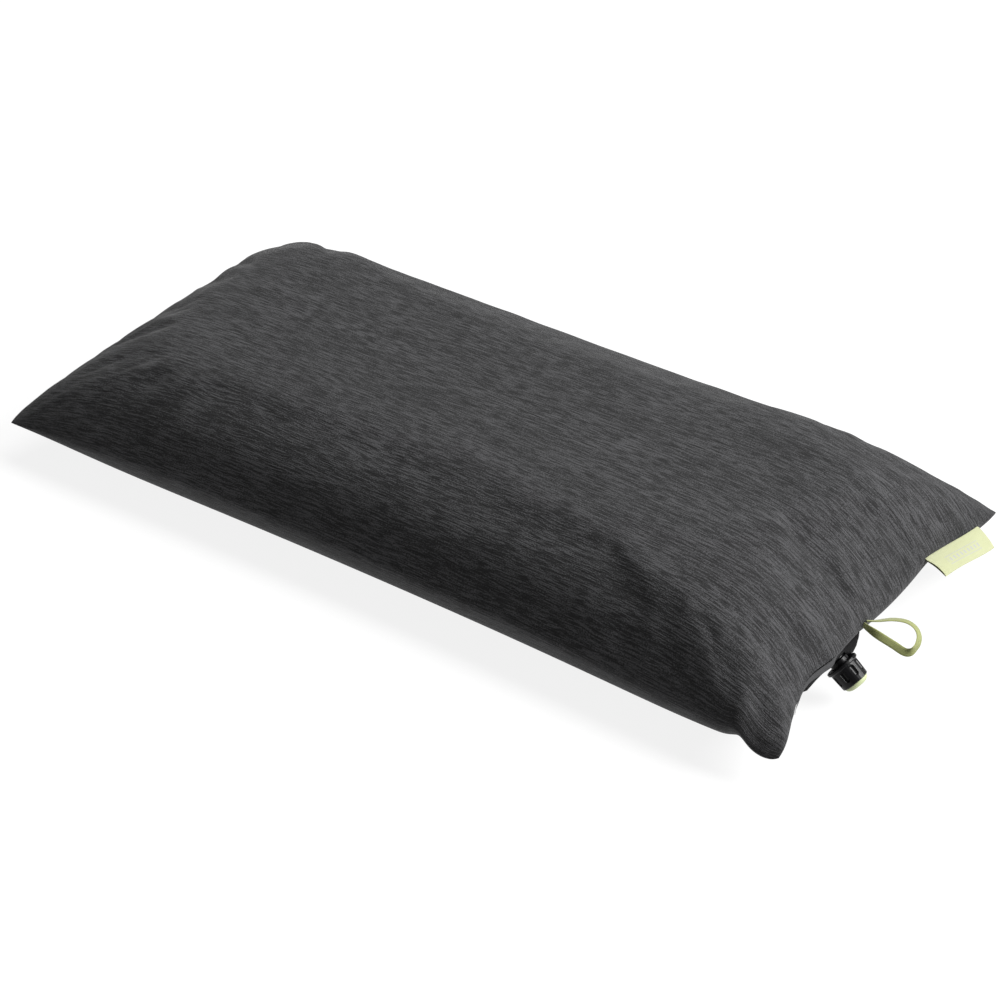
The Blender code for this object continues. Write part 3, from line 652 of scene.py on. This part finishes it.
upper_band = hem_band(1, OPEN_FROM - 0.011, OPEN_TO + 0.002, 0.0042, 0.0015, 0.0032, 0.52)
lower_band = hem_band(-1, OPEN_FROM + 0.004, OPEN_TO - 0.004, 0.0036, 0.0015, 0.0)
upper_hem = new_piece("opening_hem_upper", upper_band, hem_knit)
lower_hem = new_piece("opening_hem_lower", lower_band, hem_knit)
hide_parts("opening_binding_upper")
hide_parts("opening_binding_lower")


STITCHES, TACK_HEIGHT, TACK_LENGTH, TACK_BACK = 9, 0.0020, 0.0022, 0.0026


def stitched_bar(y):
    """A bar tack: a row of satin stitches that holds one end of the opening shut."""
    bm = bmesh.new()
    middle = (rim_point(y, 1) + rim_point(y, -1)) / 2
    size = Matrix.Diagonal((0.0004, TACK_LENGTH / STITCHES * 0.62, TACK_HEIGHT / 2, 1))
    for k in range(STITCHES):
        along = TACK_LENGTH * (k / (STITCHES - 1) - 0.5)
        place = Matrix.Translation(middle + Vector((-TACK_BACK, along, 0.0001 * (k % 2))))
        bmesh.ops.create_uvsphere(bm, u_segments=10, v_segments=6, radius=1, matrix=place @ size)
    return bm


for name, y in (("opening_tack_near", OPEN_FROM), ("opening_tack_far", OPEN_TO)):
    bar_name = name.replace("tack", "bar_tack")
    bar = new_piece(bar_name, stitched_bar(y), hem_knit)
    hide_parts(name)
print("hems and bar tacks ready")

# %% [markdown]
# ## The bladder at the opening
# Between the lips the bladder's black cloth shows, folded round the valve's weld base. It bulges
# out a little under the upper lip and closes the gap beside the valve.


# %% Bladder fold
FOLD_BACK, FOLD_UNDER, FOLD_OUT, FOLD_HEIGHT = 0.0065, 0.0022, 0.0030, 0.0130


def bladder_fold(start, end, steps=40):
    rings = []
    for i in range(steps + 1):
        share = i / steps
        y = start + (end - start) * share
        swell = math.sin(math.pi * (0.2 + 0.8 * share))
        top = rim_point(y)
        base = Vector((top.x - FOLD_BACK, y, top.z - FOLD_UNDER))
        ripple = 0.0005 * noise.noise(Vector((y * 210, 3.0, 1.0)))
        ring = []
        for k in range(14):
            turn = math.pi * (k / 13)
            out = FOLD_BACK + (FOLD_OUT * swell + ripple) * math.sin(turn)
            down = FOLD_HEIGHT * swell * (1 - math.cos(turn)) / 2
            ring.append(base + Vector((out * math.sin(turn) ** 0.5, 0, -down)))
        rings.append(ring)
    return strip(rings)


folded_edge = bladder_fold(-0.051, OPEN_TO + 0.001)
new_piece("bladder_fold", folded_edge, black_cloth)
print("bladder fold ready")

# %% [markdown]
# ## The pull loop
# One piece of ribbed tape, folded at its far end. Near the seam its two ends lie close together;
# the near strand shows its face and the far one stands on edge. Its path is a smooth curve
# through a few points, and the tape turns about it as it goes.

# %% Pull loop
loop_joint = next(joint for joint in frame["joints"] if joint["name"] == "loop_bend")
loop_root = Vector(loop_joint["pos_m"])
LOOP_TURN = Matrix.Rotation(math.radians(16), 3, "Y") @ Matrix.Rotation(math.radians(30), 3, "X")
TAPE_WIDTH, TAPE_THICKNESS, RIB_DEPTH = 0.0056, 0.0011, 0.00010
TAPE_STEPS = 17  # points across one face


def smooth_path(points, per_span):
    """A Catmull-Rom curve through the points, with any values that go along."""
    padded = [points[0]] + list(points) + [points[-1]]
    result = []
    for k in range(len(points) - 1):
        a, b, c, d = padded[k : k + 4]
        for i in range(per_span):
            t = i / per_span
            point = []
            for p, q, r, s in zip(a, b, c, d):
                square, cube = 2 * p - 5 * q + 4 * r - s, 3 * q - p - 3 * r + s
                point.append(0.5 * (2 * q + (r - p) * t + square * t * t + cube * t**3))
            result.append(point)
    return result + [list(points[-1])]


# along, across and above the loop's plane in mm, then the tape's turn about its path in degrees
LOOP_PATH = (
    (-2.0, -1.6, 0.0, 75),
    (4.0, -1.9, -0.2, 50),
    (12.0, -1.8, -0.6, 18),
    (22.0, -1.4, -0.8, 12),
    (30.0, -1.4, -0.4, 16),
    (33.6, 0.4, 0.2, 35),
    (34.8, 4.0, 0.8, 58),
    (34.4, 8.6, 1.0, 52),
    (31.8, 13.4, 1.0, 52),
    (26.6, 16.6, 0.8, 50),
    (19.5, 16.6, 0.4, 48),
    (11.5, 12.6, 0.0, 52),
    (4.5, 6.4, 0.0, 62),
    (-1.5, 1.6, 0.0, 80),
)


def tape_ring(centre, along, turn):
    """A flat oval section with shallow ribs on both faces."""
    side = Vector((-along.y, along.x, 0)).normalized()
    up = along.cross(side).normalized()
    flat = side * math.cos(turn) + up * math.sin(turn)
    face = along.cross(flat).normalized()
    half = []
    for k in range(TAPE_STEPS):
        share = 2 * k / (TAPE_STEPS - 1) - 1
        edge = max(0.0, 1 - abs(share) ** 6) ** 0.5
        rib = RIB_DEPTH * math.cos(share * math.pi * 5)
        height = (TAPE_THICKNESS / 2) * edge + rib * edge
        half.append((flat * share * TAPE_WIDTH / 2, face * height))
    points = [centre + across + height for across, height in half]
    return points + [centre + across - height for across, height in reversed(half[1:-1])]


def pull_tape():
    path = smooth_path(LOOP_PATH, 7)
    centres = [Vector(point[:3]) / 1000 for point in path]
    rings, travel = [], [0.0]
    for i, centre in enumerate(centres):
        before = centres[max(0, i - 1)]
        after = centres[min(len(centres) - 1, i + 1)]
        along = (after - before).normalized()
        points = tape_ring(centre, along, math.radians(path[i][3]))
        rings.append([loop_root + LOOP_TURN @ point for point in points])
        if i:
            travel.append(travel[-1] + (centre - centres[i - 1]).length)
    bm = strip(rings)
    uv = bm.loops.layers.uv.new("cloth")
    size = len(rings[0])
    for face in bm.faces:
        for loop in face.loops:
            ring, k = divmod(loop.vert.index, size)
            step = k if k < TAPE_STEPS else 2 * (TAPE_STEPS - 1) - k
            across = step / (TAPE_STEPS - 1) * TAPE_WIDTH
            loop[uv].uv = (travel[min(ring, len(travel) - 1)], across)
    return bm


tape = new_piece("pull_loop_tape", pull_tape(), lime_tape, "loop", 60)
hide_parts("pull_loop")
print("loop:", len(tape.data.polygons), "faces")

# %% [markdown]
# ## The side tag
# A soft label folded in two, with its ends caught in the seam. It is never flat: it bows a little,
# droops more at its far end, and sags there with the seam. One grid is bent round the fold.

# %% Side tag
tag_joint = next(joint for joint in frame["joints"] if joint["name"] == "tag_bend")
tag_root = Vector(tag_joint["pos_m"])
tag_along = -Vector(tag_joint["axis"]).normalized()
TAG_HALF, TAG_REACH = 0.0327, 0.0162
TAG_ROWS, TAG_FOLD = 28, 0.0172
TAG_SAG = Vector((0.0030, 0, -0.0030))
TAG_DROOP_NEAR, TAG_DROOP_FAR = math.radians(19), math.radians(37)
# distance from the stitching (the fold is at TAG_FOLD), and half the gap between the leaves
TAG_LEAF = (
    (-0.0032, 1), (0.003, 1), (0.008, 1), (0.013, 1), (0.0160, 0.9), (0.0169, 0.55), (TAG_FOLD, 0.0)
)
TAG_SECTION = TAG_LEAF + tuple((x, -share) for x, share in reversed(TAG_LEAF[:-1]))


def tag_row(s):
    """The section at s, from -1 at the near end to 1 at the far end."""
    level = tag_along.cross(Vector((0, 0, 1))).normalized()
    droop = TAG_DROOP_NEAR + (TAG_DROOP_FAR - TAG_DROOP_NEAR) * (s + 1) / 2
    root = tag_root + tag_along * TAG_HALF * s + TAG_SAG * ease((s + 1) / 2)
    out = level * math.cos(droop) - Vector((0, 0, 1)) * math.sin(droop)
    up = out.cross(tag_along).normalized()
    row = []
    for x, leaf in TAG_SECTION:
        bow = 0.0010 * math.sin(math.pi * min(1, x / 0.017)) * (1 - 0.5 * s)
        bow += 0.0004 * math.sin(3 * s + x * 120)
        gap = 0.00035 + 0.0004 * math.sin(math.pi * max(0, min(1, x / TAG_FOLD)))
        reach = x / TAG_FOLD * TAG_REACH * (1 - 0.012 * math.cos(2.2 * s))
        row.append(root + out * reach + up * (bow + leaf * gap))
    return row


def folded_tag():
    rows = [tag_row(2 * j / TAG_ROWS - 1) for j in range(TAG_ROWS + 1)]
    columns = len(TAG_SECTION) - 1
    bm = bmesh.new()
    uv = bm.loops.layers.uv.new("cloth")
    bmesh.ops.create_grid(bm, x_segments=columns, y_segments=TAG_ROWS, size=1)
    for face in bm.faces:
        for loop in face.loops:
            i, j = grid_place(loop.vert, columns, TAG_ROWS)
            loop[uv].uv = ((2 * j / TAG_ROWS - 1) * TAG_HALF, TAG_SECTION[i][0])
    for vert in bm.verts:
        i, j = grid_place(vert, columns, TAG_ROWS)
        vert.co = rows[j][i]
    return bm


tag = new_piece("side_tag_label", folded_tag(), lime_label, "tag", 60)
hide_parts("side_tag")
thickness = tag.modifiers.new("leaf", "SOLIDIFY")
thickness.thickness = 0.00045
thickness.offset = 0
rounder = tag.modifiers.new("soft_fold", "SUBSURF")
rounder.levels = rounder.render_levels = 2
print("tag ready")

# %% [markdown]
# ## Floor, light and camera
# The pillow lies on a white floor that glows a little, which keeps its shadow faint. A wide lamp
# above and behind lights the top evenly and leaves the near side in shade, a stronger one lights
# the valve end, and a weak sky fills in. The camera is a long lens, 35 degrees round and up.

# %% Floor
bpy.context.scene.view_settings.view_transform = "Standard"
bm = bmesh.new()
bmesh.ops.create_grid(bm, x_segments=2, y_segments=2, size=6)
floor_mesh = bpy.data.meshes.new("floor")
bm.to_mesh(floor_mesh)
bm.free()
GLOW = {"Emission Color": (1, 1, 1, 1), "Emission Strength": 0.86}
paper, paper_tree, paper_shader = finish_material(
    "white_paper", {"Roughness": 0.9, "Specular IOR Level": 0.1, **GLOW}
)
shade = speckle(paper_tree, coordinates(paper_tree, (3, 3, 3)))
shades = mix_colour(paper_tree, shade, (0.12, 0.12, 0.12, 1), (0.13, 0.13, 0.13, 1))
feed(paper_tree, paper_shader, Base_Color=shades)
floor_mesh.materials.append(paper)
floor = bpy.data.objects.new("floor", floor_mesh)
bpy.context.scene.collection.objects.link(floor)


# %% Lights
def lamp(name, place, aim, size, power):
    light = bpy.data.lights.new(name, "AREA")
    light.shape = "RECTANGLE"
    light.size, light.size_y = size
    light.energy = power
    made = bpy.data.objects.new(name, light)
    made.location = place
    made.rotation_euler = (Vector(aim) - Vector(place)).to_track_quat("-Z", "Y").to_euler()
    bpy.context.scene.collection.objects.link(made)


lamp("overhead_softbox", (0.3, 1.2, 2.6), (0, 0, 0), (2.4, 1.6), 85)
lamp("end_softbox", (3.6, 1.6, 2.6), (0.1, 0, 0.05), (2.2, 2.2), 430)
world = bpy.data.worlds.new("studio")
bpy.context.scene.world = world
world.use_nodes = True
sky = world.node_tree.nodes["Background"].inputs
sky["Color"].default_value = (1, 1, 1, 1)
sky["Strength"].default_value = 0.12

# %% Camera
AZIMUTH, ELEVATION, DISTANCE = math.radians(35.25), math.radians(34.70), 1.7759
level = math.cos(ELEVATION)
towards = Vector((math.sin(AZIMUTH) * level, -math.cos(AZIMUTH) * level, math.sin(ELEVATION)))
camera_data = bpy.data.cameras.new("camera")
camera_data.sensor_width = 36
camera_data.lens = 86.53
camera_data.shift_x = 0.0131
camera_data.shift_y = -0.0017
camera = bpy.data.objects.new("camera", camera_data)
camera.location = towards * DISTANCE
camera.rotation_euler = towards.to_track_quat("Z", "Y").to_euler()
bpy.context.scene.collection.objects.link(camera)
bpy.context.scene.camera = camera
